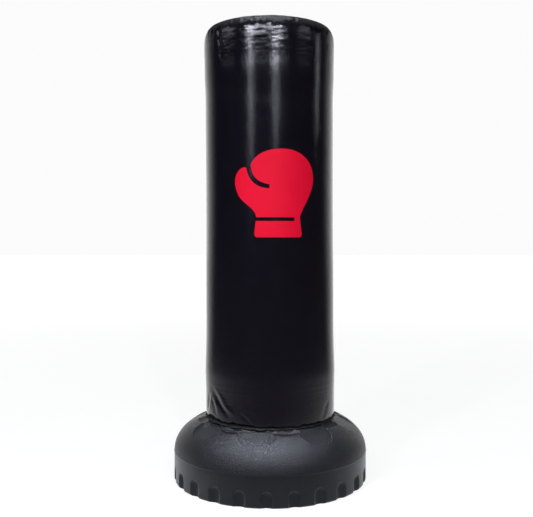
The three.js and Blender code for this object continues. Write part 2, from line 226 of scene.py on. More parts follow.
def circle(radius, sides):
    turns = np.linspace(0, 2 * math.pi, sides, endpoint=False)
    return [(radius * math.cos(t), radius * math.sin(t)) for t in turns]


def soft_noise(points, size, seed):
    """Smooth noise between about -1 and 1 at points in millimetres."""
    shift = Vector((seed * 17.3, seed * 5.1, seed * 29.7))
    flat = np.asarray(points, float).reshape(-1, 3) / size
    values = [noise.noise(Vector(p) + shift) for p in flat]
    return np.array(values).reshape(np.asarray(points).shape[:-1])


# ---------------------------------------------------------------- materials


class Nodes:
    """A short way to write a node material."""

    def __init__(self, name):
        self.material = bpy.data.materials.new(name)
        self.material.use_nodes = True
        self.tree = self.material.node_tree
        self.bsdf = self.tree.nodes["Principled BSDF"]
        self.coords = self.add("ShaderNodeTexCoord").outputs["Object"]

    def add(self, kind, **settings):
        node = self.tree.nodes.new(kind)
        for key, value in settings.items():
            setattr(node, key, value)
        return node

    def set(self, node, **values):
        for key, value in values.items():
            socket = node.inputs[key.replace("_", " ")]
            if isinstance(value, bpy.types.NodeSocket):
                self.tree.links.new(value, socket)
            else:
                socket.default_value = value
        return node

    def noise(self, scale, detail=2.0, roughness=0.5):
        node = self.set(self.add("ShaderNodeTexNoise"), Vector=self.coords, Scale=scale, Detail=detail)
        node.inputs["Roughness"].default_value = roughness
        return node.outputs["Fac"]

    def cells(self, scale):
        node = self.set(self.add("ShaderNodeTexVoronoi", feature="F1"), Vector=self.coords, Scale=scale)
        return node.outputs["Distance"]

    def map(self, value, low, high, to_low, to_high):
        node = self.set(self.add("ShaderNodeMapRange"), Value=value)
        self.set(node, **{"From_Min": low, "From_Max": high, "To_Min": to_low, "To_Max": to_high})
        return node.outputs[0]

    def maths(self, operation, a, b):
        node = self.add("ShaderNodeMath", operation=operation)
        for socket, value in zip(node.inputs, (a, b)):
            if isinstance(value, bpy.types.NodeSocket):
                self.tree.links.new(value, socket)
            else:
                socket.default_value = value
        return node.outputs[0]

    def mix(self, factor, a, b):
        node = self.add("ShaderNodeMix", data_type="RGBA")
        self.tree.links.new(factor, node.inputs[0])
        node.inputs[6].default_value = (*a, 1)
        node.inputs[7].default_value = (*b, 1)
        return node.outputs[2]

    def bump(self, height, strength, distance, normal=None):
        node = self.set(self.add("ShaderNodeBump"), Height=height, Strength=strength, Distance=distance)
        if normal:
            self.tree.links.new(normal, node.inputs["Normal"])
        return node.outputs[0]

    def finish(self, **values):
        self.set(self.bsdf, **values)
        return self.material


def vinyl_material():
    """Black coated vinyl: pebbled grain, faint handling marks, and a sheen that varies slowly in patches."""
    n = Nodes("vinyl")
    pebble = n.bump(n.cells(900), 0.12, 0.0003)
    grain = n.bump(n.noise(260, 3, 0.7), 0.6, 0.0004, pebble)
    patches = n.bump(n.noise(16, 3, 0.6), 0.5, 0.0012, grain)
    roughness = n.map(n.noise(22, 5, 0.7), 0.32, 0.68, 0.10, 0.17)
    colour = n.mix(n.noise(14, 3), (0.0032, 0.0023, 0.0050), (0.0052, 0.0042, 0.0080))
    glints = n.map(n.noise(300, 2, 0.8), 0.36, 0.64, 0.40, 0.62)
    n.finish(Base_Color=colour, Roughness=roughness, Normal=patches)
    return n.finish(Specular_IOR_Level=glints, Specular_Tint=(0.95, 0.94, 1.0, 1.0))


def moulded_material():
    """Black polyethylene: blasted texture on the dome, smoother and slightly dusty below the parting line."""
    n = Nodes("moulded_black")
    height = n.add("ShaderNodeSeparateXYZ")
    n.set(height, Vector=n.coords)
    upper = n.map(height.outputs[2], SKIRT_HEIGHT * MM, (SKIRT_HEIGHT + 3) * MM, 0.10, 1.0)
    texture = n.maths("ADD", n.noise(230, 3, 0.75), n.maths("MULTIPLY", n.cells(420), 0.35))
    peel = n.bump(n.maths("MULTIPLY", texture, upper), 1.0, 0.0017)
    roughness = n.map(n.noise(230, 2), 0.3, 0.7, 0.30, 0.48)
    colour = n.mix(n.noise(20, 4), (0.0045, 0.0042, 0.0062), (0.0070, 0.0066, 0.0090))
    scuffs = n.map(n.noise(11, 6, 0.75), 0.52, 0.75, 0.0, 1.0)
    scuffed = n.maths("MULTIPLY", scuffs, n.map(upper, 0.1, 1.0, 0.25, 0.1))
    dusty = n.maths("ADD", scuffed, n.map(upper, 0.1, 1.0, 0.22, 0.0))
    tint = (0.88, 0.90, 1.0, 1.0)
    n.finish(Base_Color=colour, Roughness=roughness, Normal=peel, Specular_Tint=tint)
    return n.finish(Sheen_Weight=dusty, Sheen_Roughness=0.45, Sheen_Tint=tint)


def plain_material(name, dark, light, roughness, metallic=0.0, scale=40.0, grain=0.1, depth=0.0004):
    """Anything with one even finish: two close shades mottled together over a fine grain."""
    n = Nodes(name)
    colour = n.mix(n.noise(scale, 4), dark, light)
    rough = n.map(n.noise(scale * 2, 3), 0.3, 0.7, roughness - 0.05, roughness + 0.05)
    bump = n.bump(n.noise(scale * 12, 2), grain, depth)
    return n.finish(Base_Color=colour, Roughness=rough, Metallic=metallic, Normal=bump)


def foam_material(name, dark, light, pore):
    n = Nodes(name)
    pores = n.cells(pore)
    return n.finish(Base_Color=n.mix(pores, dark, light), Roughness=0.95, Normal=n.bump(pores, 0.6, 0.002))


def emblem_material():
    """Red film: it takes a little of the vinyl's grain."""
    n = Nodes("emblem_red")
    grain = n.bump(n.noise(300, 3, 0.65), 0.25, 0.0003)
    colour = n.mix(n.noise(12, 3), (0.72, 0.0015, 0.024), (0.80, 0.003, 0.032))
    roughness = n.map(n.noise(50, 3), 0.3, 0.7, 0.50, 0.60)
    return n.finish(Base_Color=colour, Roughness=roughness, Normal=grain, Specular_IOR_Level=0.12)


def tape_material():
    n = Nodes("zip_tape")
    weave = n.add("ShaderNodeTexWave", wave_type="BANDS", bands_direction="DIAGONAL")
    n.set(weave, Vector=n.coords, Scale=700.0, Distortion=1.0)
    colour = n.mix(weave.outputs["Fac"], (0.004, 0.004, 0.005), (0.010, 0.010, 0.012))
    return n.finish(Base_Color=colour, Roughness=0.9, Normal=n.bump(weave.outputs["Fac"], 0.5, 0.0004))


MOULDED = moulded_material()
VINYL = vinyl_material()
EMBLEM = emblem_material()
# Near black and darker than the vinyl, for the bottom panel: partly the panel's own black and partly painted
# shade for the gap under the hem.
PANEL_BLACK_PAINTED_SHADE = plain_material("panel_black_painted_shade", (0.0016, 0.0016, 0.0018), (0.003, 0.003, 0.0034), 0.9, scale=200)
THREAD = plain_material("thread", (0.006, 0.006, 0.007), (0.014, 0.014, 0.016), 0.7, scale=300)
SLOT_MATERIALS = {
    "moulded_black": MOULDED,
    "sand": plain_material(
        "sand", (0.30, 0.21, 0.10), (0.55, 0.42, 0.23), 0.95, scale=900, grain=0.8, depth=0.002
    ),
    "rubber_seal": plain_material("rubber_seal", (0.008, 0.008, 0.008), (0.016, 0.016, 0.016), 0.8),
    "cap_plastic": plain_material("cap_plastic", (0.009, 0.010, 0.011), (0.016, 0.017, 0.019), 0.45),
    "slip_plastic": plain_material("slip_plastic", (0.014, 0.014, 0.015), (0.022, 0.022, 0.023), 0.4),
    "pipe_plastic": plain_material("pipe_plastic", (0.22, 0.25, 0.27), (0.28, 0.31, 0.33), 0.5),
    "screw_steel": plain_material("screw_steel", (0.44, 0.44, 0.46), (0.56, 0.56, 0.57), 0.35, metallic=1.0),
    "dense_foam": foam_material("dense_foam", (0.030, 0.034, 0.040), (0.055, 0.060, 0.068), 900),
    "soft_foam": foam_material("soft_foam", (0.11, 0.12, 0.13), (0.20, 0.21, 0.23), 500),
    "vinyl": VINYL,
    "emblem_red": EMBLEM,
    "zip_tape": tape_material(),
    "zip_teeth": plain_material("zip_teeth", (0.007, 0.007, 0.009), (0.013, 0.013, 0.015), 0.4),
    "zip_metal": plain_material(
        "zip_metal", (0.020, 0.021, 0.024), (0.032, 0.033, 0.036), 0.35, metallic=0.9
    ),
}


def dress_cad_nodes():
    slots = {row["node"]: row["material_slot"] for row in frame["record"]["subparts"]}
    for name, piece in frame["nodes"].items():
        piece.data.materials.clear()
        piece.data.materials.append(SLOT_MATERIALS[slots[name]])


# ---------------------------------------------------------------- base


def dome_profile(steps):
    """(radius, height) rows from the skirt up to the seat."""
    rise = math.asin(((SEAT_HEIGHT - SKIRT_HEIGHT) / DOME_HEIGHT) ** (DOME_POWER / 2))
    rows = []
    for t in np.linspace(0, rise, steps):
        radius = BASE_RADIUS - DOME_WIDTH + DOME_WIDTH * math.cos(t) ** (2 / DOME_POWER)
        rows.append((radius, SKIRT_HEIGHT + DOME_HEIGHT * math.sin(t) ** (2 / DOME_POWER)))
    return rows


def base_profile(wall_rows, dome_rows):
    foot_outer = BASE_RADIUS - SKIRT_EDGE
    rows = [(0, FOOT_RECESS), (FOOT_INNER - 13, FOOT_RECESS)]
    rows += [(FOOT_INNER - 9, FOOT_RECESS - 1), (FOOT_INNER - 2, 1)]
    rows += [(FOOT_INNER + 3, 0), (FOOT_INNER + 50, 0), (foot_outer - 6, 0)]
    for t in np.linspace(0, math.pi / 2, 5)[:-1]:
        rows.append((foot_outer + SKIRT_EDGE * math.sin(t), SKIRT_EDGE * (1 - math.cos(t))))
    rows += [(BASE_RADIUS, z) for z in np.linspace(SKIRT_EDGE, SKIRT_HEIGHT - 3, wall_rows)]
    rows += [(BASE_RADIUS, SKIRT_HEIGHT + dz) for dz in (-1.5, -0.6)]
    dome = dome_profile(dome_rows)
    rows += [dome[0], (dome[0][0], dome[0][1] + 0.7)] + dome[1:]
    rows += [(205, SEAT_HEIGHT), (150, SEAT_HEIGHT), (NECK_RADIUS + 6, SEAT_HEIGHT)]
    for t in np.linspace(0, math.pi / 2, 4)[1:]:
        rows.append((NECK_RADIUS + 6 - 6 * math.sin(t), SEAT_HEIGHT + 6 * (1 - math.cos(t))))
    rows += [(NECK_RADIUS, NECK_TOP - 4), (NECK_RADIUS - 1.2, NECK_TOP - 1.2)]
    return rows + [(NECK_RADIUS - 4, NECK_TOP), (0, NECK_TOP)]


def nearest(azimuth, first, count):
    """How far an azimuth is from the nearest of evenly spaced ones, in radians."""
    step = 2 * math.pi / count
    return (azimuth - math.radians(first) + step / 2) % step - step / 2


def scalloped(azimuth, radius, height):
    """The skirt's radius with the ball-nosed grooves cut into it."""
    off = nearest(azimuth, SCALLOP_AZIMUTH, SCALLOPS)
    above = np.maximum(height - SCALLOP_CENTRE, 0)
    groove = np.sqrt(np.maximum(SCALLOP_RADIUS**2 - above**2, 0))
    across = SCALLOP_AXIS * np.sin(off)
    inside = np.abs(across) < groove
    near = SCALLOP_AXIS * np.cos(off) - np.sqrt(np.maximum(groove**2 - across**2, 0))
    return soft_min(radius, np.where(inside, near, 2 * BASE_RADIUS), 3.0)


def tilted_frame(azimuth, radius, height, centre, first):
    """Coordinates across, down the slope and above a tilted plane centred on the nearest of the features."""
    off = nearest(azimuth, first, FACETS)
    out = radius * np.cos(off) - centre[0]
    up = height - centre[1]
    across = radius * np.sin(off)
    along = out * math.cos(FACET_TILT) - up * math.sin(FACET_TILT)
    above = out * math.sin(FACET_TILT) + up * math.cos(FACET_TILT)
    return across, along, above


def base_shape(azimuth, radius, height):
    """Cuts the scallops, flats and dimples into plain rows of the base."""
    skirt = (height < SKIRT_HEIGHT - 2) & (radius > FOOT_INNER + 10)
    radius = np.where(skirt, scalloped(azimuth, radius, height), radius)

    flash = np.exp(-(((height - SKIRT_HEIGHT) / 0.9) ** 2)) * 1.1
    radius = radius + np.where(radius > 300, flash, 0)

    dome = (height > 150) & (radius > 206)
    across, along, above = tilted_frame(azimuth, radius, height, FACET_CENTRE, FACET_AZIMUTH)
    distance = np.hypot(across, along)
    weight = smoothstep(FACET_RADIUS + 1.6, FACET_RADIUS - 1.6, distance)
    sink = np.where(dome, np.maximum(above, 0) * 0.62 * weight, 0)
    sink = sink + np.where(dome, 0.9 * np.exp(-(((distance - FACET_RADIUS) / 1.9) ** 2)), 0)

    across, along, above = tilted_frame(
        azimuth, radius, height, DIMPLE_CENTRE, FACET_AZIMUTH + 180 / FACETS
    )
    spread = (across / DIMPLE_HALF[0]) ** 2 + (along / DIMPLE_HALF[1]) ** 2
    bowl = -DIMPLE_HALF[2] * np.sqrt(np.maximum(1 - spread, 0))
    lowered = soft_min(above, np.where(spread < 1, bowl, 50), 1.6)
    sink = sink + np.where(dome, above - lowered, 0)
    return radius - sink * math.sin(FACET_TILT), height - sink * math.cos(FACET_TILT)


def base_rows(profile, columns, inset=0.0):
    """The base's points, moved inwards by an inset along the plain profile's normal."""
    azimuth = np.linspace(0, 2 * math.pi, columns, endpoint=False)
    plain = np.array(profile, float)
    radius = plain[:, :1] * np.ones(columns)
    height = plain[:, 1:] * np.ones(columns)
    radius, height = base_shape(azimuth, radius, height)
    if inset:
        slope = np.gradient(plain, axis=0)
        slope /= np.maximum(np.linalg.norm(slope, axis=1, keepdims=True), 1e-9)
        radius = np.maximum(radius - inset * slope[:, 1:], 0)
        height = height + inset * slope[:, :1]
        radius[0] = radius[-1] = 0
    return around(azimuth, radius, height)


def build_base():
    profile = base_profile(wall_rows=30, dome_rows=62)
    outer = base_rows(profile, 720)
    faces = grid_faces(len(profile), 720)
    inside = base_profile(wall_rows=12, dome_rows=16)
    inner = base_rows(inside, 240, inset=TANK_WALL)
    count = outer.shape[0] * outer.shape[1]
    inner_faces = grid_faces(len(inside), 240)[:, ::-1] + count
    points = np.concatenate([outer.reshape(-1, 3), inner.reshape(-1, 3)])
    shell = mesh_piece("base_shell", points, np.concatenate([faces, inner_faces]), MOULDED, weld=True)
    attach(shell, "base", "moulded_black", "base_tank")


def ridge_path(radius, start, pitch, turns, steps):
    t = np.linspace(0, 1, steps)
    return [(2 * math.pi * turns * u + math.pi / 2, radius, start + pitch * turns * u) for u in t]


def build_neck_thread():
    section = [(-3, -4.8), (3.2, -2.9), (5, -2.2), (5.2, 0), (5, 2.2), (3.2, 2.9), (-3, 4.8)]
    path = ridge_path(NECK_RADIUS, SEAT_HEIGHT + 20, 16, 2, 240)
    rows = []
    for i, (azimuth, radius, height) in enumerate(path):
        fade = min(1, i / 12, (len(path) - 1 - i) / 12)
        grown = 0.15 + 0.85 * fade
        rows.append([around(azimuth, radius - 3 + (out + 3) * grown, height + up) for out, up in section])
    faces = grid_faces(len(rows), len(section)).tolist()
    last = (len(rows) - 1) * len(section)
    faces.append([last + k for k in range(len(section))])
    faces.append(list(range(len(section)))[::-1])
    thread = mesh_piece("neck_thread", np.array(rows), faces, MOULDED)
    thread.data.flip_normals()
    attach(thread, "base", "moulded_black")


# ---------------------------------------------------------------- filler


def filler_matrix():
    """The filler's frame: +Z is the facet's normal, and the origin is on the facet under the cap."""
    azimuth = math.radians(FACET_AZIMUTH + 180)
    facet = Matrix.Translation((0, -FACET_CENTRE[0] * MM, FACET_CENTRE[1] * MM))
    place = Matrix.Rotation(azimuth, 4, "Z") @ facet
    return place @ Matrix.Rotation(FACET_TILT, 4, "X") @ Matrix.Translation((0, -FILLER_OUTWARD * MM, 0))


def build_filler_spout():
    profile = [(20, -8), (24, -8), (24, 8), (23.4, 8.8), (22.6, 9), (20.8, 9), (20.2, 8.6), (20, 8), (20, -8)]
    spout = turned("filler_spout", profile, 64, MOULDED)
    spout.data.transform(filler_matrix())
    attach(spout, "base", "moulded_black")


def build_filler_cap():
    """The cap's side is ribbed for grip, and a bar across the top turns it."""

    def ribs(azimuth, radius, height):
        side = (radius > 31) & (height > 1.8) & (height < 12.4)
        return radius - np.where(side, 0.7 + 0.7 * np.cos(azimuth * 30), 0), height

    profile = [(0, 11.1), (27.2, 11.1), (27.2, 1), (32.4, 1), (33, 1.6), (33, 2.4), (33, 11.6), (33, 12.4)]
    profile += [(32.6, 13.8), (31.4, 14.5), (24, 14.6), (23, 13.9), (0, 13.9)]
    cap = turned("filler_cap_turned", profile, 360, SLOT_MATERIALS["cap_plastic"], ripple=ribs)
    cap.data.transform(filler_matrix())
    attach(cap, "filler_cap", "cap_plastic", "filler_cap")

    bar = bmesh.new()
    bmesh.ops.create_cube(bar, size=1.0)
    bmesh.ops.scale(bar, vec=(46 * MM, 9 * MM, 9 * MM), verts=bar.verts)
    bmesh.ops.translate(bar, vec=(0, 0, 17.6 * MM), verts=bar.verts)
    top = [v for v in bar.verts if v.co.z > 17.6 * MM]
    for v in top:
        v.co.y *= 0.7
    bmesh.ops.bevel(bar, geom=bar.edges, offset=1.6 * MM, segments=3, affect="EDGES", profile=0.5)
    grip = link("filler_cap_bar", mesh_from(bar, "filler_cap_bar"), SLOT_MATERIALS["cap_plastic"])
    grip.data.transform(filler_matrix())
    attach(grip, "filler_cap", "cap_plastic")


# ---------------------------------------------------------------- cloth


def settle(start, rest, pinned, inner):
    """Lets a ring of cloth settle towards its rest lengths, outside an inner surface.

    All are arrays of rows by columns: the start, rest and inner points in millimetres, and which points
    are sewn down.
    """
    rows, columns = pinned.shape
    mesh = bpy.data.meshes.new("cloth")
    mesh.from_pydata((start.reshape(-1, 3) * MM).tolist(), [], grid_faces(rows, columns).tolist())
    cloth = bpy.data.objects.new("cloth", mesh)
    bpy.context.scene.collection.objects.link(cloth)
    cloth.shape_key_add(name="start")
    cut = cloth.shape_key_add(name="cut")
    cut.data.foreach_set("co", (rest.reshape(-1) * MM).astype(np.float32))
    cut.value = 0
    sewn = cloth.vertex_groups.new(name="sewn")
    sewn.add(np.nonzero(pinned.reshape(-1))[0].tolist(), 1, "ADD")

    padding_mesh = bpy.data.meshes.new("padding")
    padding_faces = grid_faces(*inner.shape[:2]).tolist()
    padding_mesh.from_pydata((inner.reshape(-1, 3) * MM).tolist(), [], padding_faces)
    padding = bpy.data.objects.new("padding", padding_mesh)
    bpy.context.scene.collection.objects.link(padding)
    padding.modifiers.new("collision", "COLLISION")
    padding.collision.thickness_outer = 1 * MM
    padding.collision.cloth_friction = 2

    modifier = cloth.modifiers.new("cloth", "CLOTH")
    fabric = modifier.settings
    fabric.quality = 5
    fabric.mass = 0.02
    fabric.tension_stiffness = fabric.compression_stiffness = 20
    fabric.shear_stiffness = 5
    fabric.bending_stiffness = 5
    fabric.tension_damping = fabric.compression_damping = fabric.shear_damping = 5
    fabric.use_pressure = True
    fabric.uniform_pressure_force = 50
    fabric.effector_weights.gravity = 0
    fabric.vertex_group_mass = "sewn"
    fabric.pin_stiffness = 50
    fabric.rest_shape_key = cut
    modifier.collision_settings.distance_min = 1 * MM
    modifier.point_cache.frame_end = SETTLE_FRAMES

    scene = bpy.context.scene
    for number in range(1, SETTLE_FRAMES + 1):
        scene.frame_set(number)
    settled = cloth.evaluated_get(bpy.context.evaluated_depsgraph_get())
    flat = np.empty(rows * columns * 3, np.float32)
    settled.data.vertices.foreach_get("co", flat)
    scene.frame_set(1)
    for piece in (cloth, padding):
        data = piece.data
        bpy.data.objects.remove(piece)
        bpy.data.meshes.remove(data)
    return flat.reshape(rows, columns, 3).astype(float) / MM


def spline(values, at, wrap):
    """Catmull-Rom interpolation of an array's first axis, at fractional places along it."""
    count = len(values)
    whole = np.floor(at).astype(int)
    t = (at - whole).reshape(-1, *[1] * (values.ndim - 1))
    near = [(whole + k) % count if wrap else np.clip(whole + k, 0, count - 1) for k in (-1, 0, 1, 2)]
    p0, p1, p2, p3 = (values[index] for index in near)
    bend = 2 * p0 - 5 * p1 + 4 * p2 - p3 + (3 * (p1 - p2) + p3 - p0) * t
    return p1 + 0.5 * t * (p2 - p0 + t * bend)


# ---------------------------------------------------------------- cover

SETTLE_FRAMES = 12
SIM_COLUMNS = 200
COLUMNS = 400
SLOT_HALF = math.asin(ZIP_SLOT / 2 / BAG_RADIUS)
HEM_HEIGHT = 228
SHOULDER_START = WELT_HEIGHT - 40
SHOULDER_EDGE = WELT_RADIUS + WELT_SIZE + 0.5
LEAN = 4.1
COVER_THICKNESS = 1.4


def swell(height):
    """How the padding's girth varies up the bag."""
    top = 2.6 * np.exp(-(((height - 1545) / 90) ** 2))
    upper = 0.9 * smoothstep(1000, 1250, height)
    middle = 0.5 * np.exp(-(((height - 650) / 160) ** 2))
    return top + upper + middle - 0.8


def sim_profile():
    """(radius, height) rows of the cover, from the hem to the welt, closer together towards both ends."""
    heights = [HEM_HEIGHT]
    while heights[-1] < SHOULDER_START:
        from_end = min(heights[-1] - HEM_HEIGHT, SHOULDER_START - heights[-1])
        heights.append(heights[-1] + 6 + 34 * float(smoothstep(70, 300, from_end)))
    stretch = (SHOULDER_START - HEM_HEIGHT) / (heights[-1] - HEM_HEIGHT)
    rows = [(HEM_HEIGHT + (z - HEM_HEIGHT) * stretch) for z in heights]
    rows = [(BAG_RADIUS + swell(z), z) for z in rows]
    corner = rows[-1][0]
    for t in np.linspace(0, math.pi / 2, 10)[1:]:
        radius = SHOULDER_EDGE + (corner - SHOULDER_EDGE) * math.cos(t)
        rows.append((radius, SHOULDER_START + (WELT_HEIGHT - SHOULDER_START) * math.sin(t)))
    return np.array(rows)


def fine_rows(profile):
    """Where the final rows lie among the sim's: twice as close near both ends."""
    from_end = np.minimum(profile[:, 1] - HEM_HEIGHT, WELT_HEIGHT - profile[:, 1])
    halves = [k + 0.5 for k in range(len(profile) - 1) if from_end[k] < 130]
    return np.array(sorted([float(k) for k in range(len(profile))] + halves))


def hem_rise(azimuth):
    """How far the hem stands above its plain height: it ripples, and rides up towards the front left."""
    ripple = 1.2 * np.sin(azimuth * 11 + 0.6) + 1.2 * np.sin(azimuth * 23 + 2.1) + 0.7 * np.sin(azimuth * 41)
    away = smoothstep(math.pi - 0.1, math.pi - 0.4, np.abs(azimuth))
    lifted = 4.5 * smoothstep(-0.12, -0.34, azimuth) * smoothstep(-1.7, -1.2, azimuth)
    rucked = 7 * np.exp(-(((azimuth + 1.1) / 0.2) ** 2))
    return (0.6 + ripple) * away + lifted + rucked


def fold(azimuth, height, at, low, high, width, depth, drift):
    """A crease up the cover, from an azimuth in degrees, between two heights. It leans by the drift."""
    wander = 0.012 * np.sin(height / 19 + at) + 0.006 * np.sin(height / 7.3 + 2 * at)
    middle = math.radians(at) + drift * (height - low) / BAG_RADIUS + wander
    off = (azimuth - middle) * BAG_RADIUS / width
    span = high - low
    ends = smoothstep(low, low + 0.3 * span, height) * smoothstep(high, high - 0.4 * span, height)
    return depth * ends * (0.6 * np.exp(-(((off - 1.5) / 0.8) ** 2)) - np.exp(-(off**2)))


def puckers(azimuth, height):
    """Short tucks where the cover is gathered onto the welt: rounded ridges between sharp valleys."""
    phase = azimuth * 21 + 1.3 * np.sin(azimuth * 5 + 1) + 0.8 * np.sin(azimuth * 13 + 2)
    depth = 2.6 + 1.3 * np.sin(azimuth * 7 + 2.2) + 0.8 * np.sin(azimuth * 17)
    reach = 34 + 14 * np.sin(azimuth * 11 + 0.7)
    near = smoothstep(WELT_HEIGHT - reach, WELT_HEIGHT - 8, height)
    return depth * near * (np.abs(np.sin(phase)) - 0.7)


# azimuth in degrees, lowest and highest point, width, depth, drift
CREASES = (
    (-45, 1440, 1590, 9, 1.8, -0.05),
    (-36, 236, 350, 16, 2.6, -0.9),
    (-52, 234, 300, 12, 1.5, -0.6),
    (-71, 236, 320, 12, 2.2, 0.2),
    (-16, 226, 270, 9, 1.2, -0.9),
    (50, 228, 300, 14, 1.0, 0.5),
)


def creases(azimuth, height):
    """The few long folds that handling has left in the cover."""
    relief = 0
    for crease in CREASES:
        relief = relief + fold(azimuth, height, *crease)
    return relief


def gathers():
    """Offsets in azimuth, radius and height that the cloth takes up on the sim's grid.

    The cover is cut straight, with spare cloth at both ends. It is gathered onto the smaller welt at the
    top, and its hem is pulled up unevenly.
    """
    profile = sim_profile()
    azimuth = np.linspace(-math.pi, math.pi, SIM_COLUMNS, endpoint=False)
    plain_radius = profile[:, :1] * np.ones(SIM_COLUMNS)
    plain_height = profile[:, 1:] * np.ones(SIM_COLUMNS)
    spread = azimuth * np.ones_like(plain_radius)
    top = smoothstep(1440, 1500, plain_height)
    bottom = smoothstep(330, 260, plain_height)
    height = plain_height + hem_rise(spread) * bottom
    plain = around(azimuth, plain_radius, plain_height)
    uneven = soft_noise(plain, 14, 3) + soft_noise(plain, 40, 4)
    loose = (top * smoothstep(WELT_HEIGHT - 1, WELT_HEIGHT - 20, plain_height) + 0.5 * bottom) * uneven
    start = around(azimuth, plain_radius + loose, height)

    along = np.concatenate([[0], np.cumsum(np.hypot(*np.diff(profile, axis=0).T))])
    along = along + 0.02 * np.maximum(along - along[-1] + 100, 0)
    waves = ((5, 0.03), (13, 0.05), (23, 0.07))
    bunched = sum(share * np.sin(count * azimuth + count) / count for count, share in waves)
    spare = 1 + 0.045 * smoothstep(1490, 1560, plain_height) + 0.012 * smoothstep(290, 240, plain_height)
    rest = around(azimuth + bunched, BAG_RADIUS * spare, along[:, None] + HEM_HEIGHT)

    pinned = np.zeros(plain_radius.shape, bool)
    pinned[[0, -1]] = True
    pinned[:, np.abs(np.abs(azimuth) - math.pi) < SLOT_HALF * 1.3] = True
    tucked = np.append(profile - [3, 0], [[SHOULDER_EDGE - 20, WELT_HEIGHT]], axis=0)
    inner = around(azimuth, tucked[:, :1], tucked[:, 1:])
    settled = settle(start, rest, pinned, inner)

    turn = np.arctan2(settled[..., 0], -settled[..., 1]) - azimuth
    turn = (turn + math.pi) % (2 * math.pi) - math.pi
    radius = np.clip(1.4 * (np.hypot(settled[..., 0], settled[..., 1]) - plain_radius), -3.5, 5)
    return np.stack([turn, radius, np.clip(settled[..., 2] - height, -6, 6)], -1)


def leaned(points):
    """The padding stands a little to the left towards the top, except at the zip."""
    points = np.array(points, float)
    share = np.clip((points[..., 2] - 235) / (BAG_TOP - 235), 0, 1)
    front = smoothstep(BAG_RADIUS * 0.985, BAG_RADIUS * 0.6, points[..., 1])
    points[..., 0] -= LEAN * share * front
    return points


class Cover:
    """The cover's outer surface, as cylindrical rows and columns from the hem's edge to the welt."""

    def __init__(self):
        offsets = gathers()
        profile = sim_profile()
        self.azimuth = np.linspace(-math.pi + SLOT_HALF, math.pi - SLOT_HALF, COLUMNS)
        rows = fine_rows(profile)
        columns = (self.azimuth + math.pi) / (2 * math.pi) * SIM_COLUMNS
        fine = spline(np.moveaxis(spline(offsets, rows, False), 1, 0), columns, True)
        turn, out, up = np.moveaxis(np.moveaxis(fine, 1, 0), -1, 0)
        plain = spline(profile, rows, False)
        self.rows = plain[:, 1]
        radius = plain[:, :1] * np.ones(COLUMNS)
        height = plain[:, 1:] * np.ones(COLUMNS)
        spread = self.azimuth * np.ones_like(radius)
        bottom = smoothstep(330, 260, height)
        worked = np.maximum(smoothstep(1330, 1480, height), smoothstep(560, 300, height))
        relief = 0.22 * soft_noise(around(spread, radius, height * 0.3), 26, 5)
        relief = relief + 0.12 * soft_noise(around(spread, radius, height * 0.6), 11, 6)
        edges = worked * smoothstep(0, 22, (math.pi - SLOT_HALF - np.abs(spread)) * BAG_RADIUS)
        under_welt = smoothstep(WELT_HEIGHT, WELT_HEIGHT - 5, height)
        self.turn = spread + turn * edges
        relief = relief + creases(spread, height) + puckers(spread, height)
        self.radius = radius + (out + relief * under_welt) * edges
        self.height = height + hem_rise(spread) * bottom + up * edges

    def at(self, azimuth, height):
        """The cover's radius at places given by azimuth and height, below the shoulder."""
        column = np.interp(azimuth, self.azimuth, np.arange(COLUMNS))
        row = np.interp(height, self.rows, np.arange(len(self.rows)))
        i, j = np.minimum(row.astype(int), len(self.rows) - 2), np.minimum(column.astype(int), COLUMNS - 2)
        u, v = row - i, column - j
        lower = self.radius[i, j] * (1 - v) + self.radius[i, j + 1] * v
        upper = self.radius[i + 1, j] * (1 - v) + self.radius[i + 1, j + 1] * v
        return lower * (1 - u) + upper * u

    def points(self):
        """The outer surface with its rolled hem, from inside the hem upwards."""
        rolled = [(-4.6, 7), (-4.6, 2.5), (-3.9, -0.6), (-2.4, -1.9), (-0.8, -1.5)]
        radius = [self.radius[0] + out for out, _ in rolled]
        height = [self.height[0] + up for _, up in rolled]
        turn = [self.turn[0]] * len(rolled)
        return around(
            np.concatenate([turn, self.turn]),
            np.concatenate([radius, self.radius]),
            np.concatenate([height, self.height]),
        )


def build_side_cover(cover):
    """Open down the back between the two sides of the zip's slot, and joined above and below it."""
    points = leaned(cover.points())
    rows, columns = points.shape[:2]
    faces = grid_faces(rows, columns, wrap=False).tolist()
    edge = points[:, 0, 2]
    for i in range(rows - 1):
        if edge[i + 1] <= ZIP_BOTTOM - 2 or edge[i] >= ZIP_TOP + 3:
            low, high = i * columns, (i + 1) * columns
            faces.append([low + columns - 1, low, high, high + columns - 1])
    piece = mesh_piece("side_cover", points, faces, VINYL)
    skin = piece.modifiers.new("thickness", "SOLIDIFY")
    skin.thickness = COVER_THICKNESS * MM
    skin.offset = -1
    attach(piece, "bag", "vinyl", "cover_side_panel")


def build_top_panel():
    edge = WELT_RADIUS - 0.6
    rise = BAG_TOP - WELT_HEIGHT - 1

    def puckered(azimuth, radius, height):
        near = smoothstep(edge - 45, edge - 4, radius)
        waves = np.sin(azimuth * 37 + 2 * np.sin(azimuth * 3)) + 0.7 * np.sin(azimuth * 23 + 1.3)
        dents = np.sin(azimuth * 2 + radius / 60) * near * (1 - near)
        return radius, height + near * (waves - 1) * 0.5 + 3 * dents

    shares = np.concatenate([np.linspace(0, 0.7, 12), np.linspace(0.72, 1, 18)])
    top = [(edge * s, BAG_TOP - 0.8 - rise * s * s) for s in shares]
    under = [(r, z - COVER_THICKNESS) for r, z in top]
    panel = turned("top_panel", under + top[::-1], 300, VINYL, ripple=puckered, bend=leaned)
    attach(panel, "bag", "vinyl", "cover_top_panel")


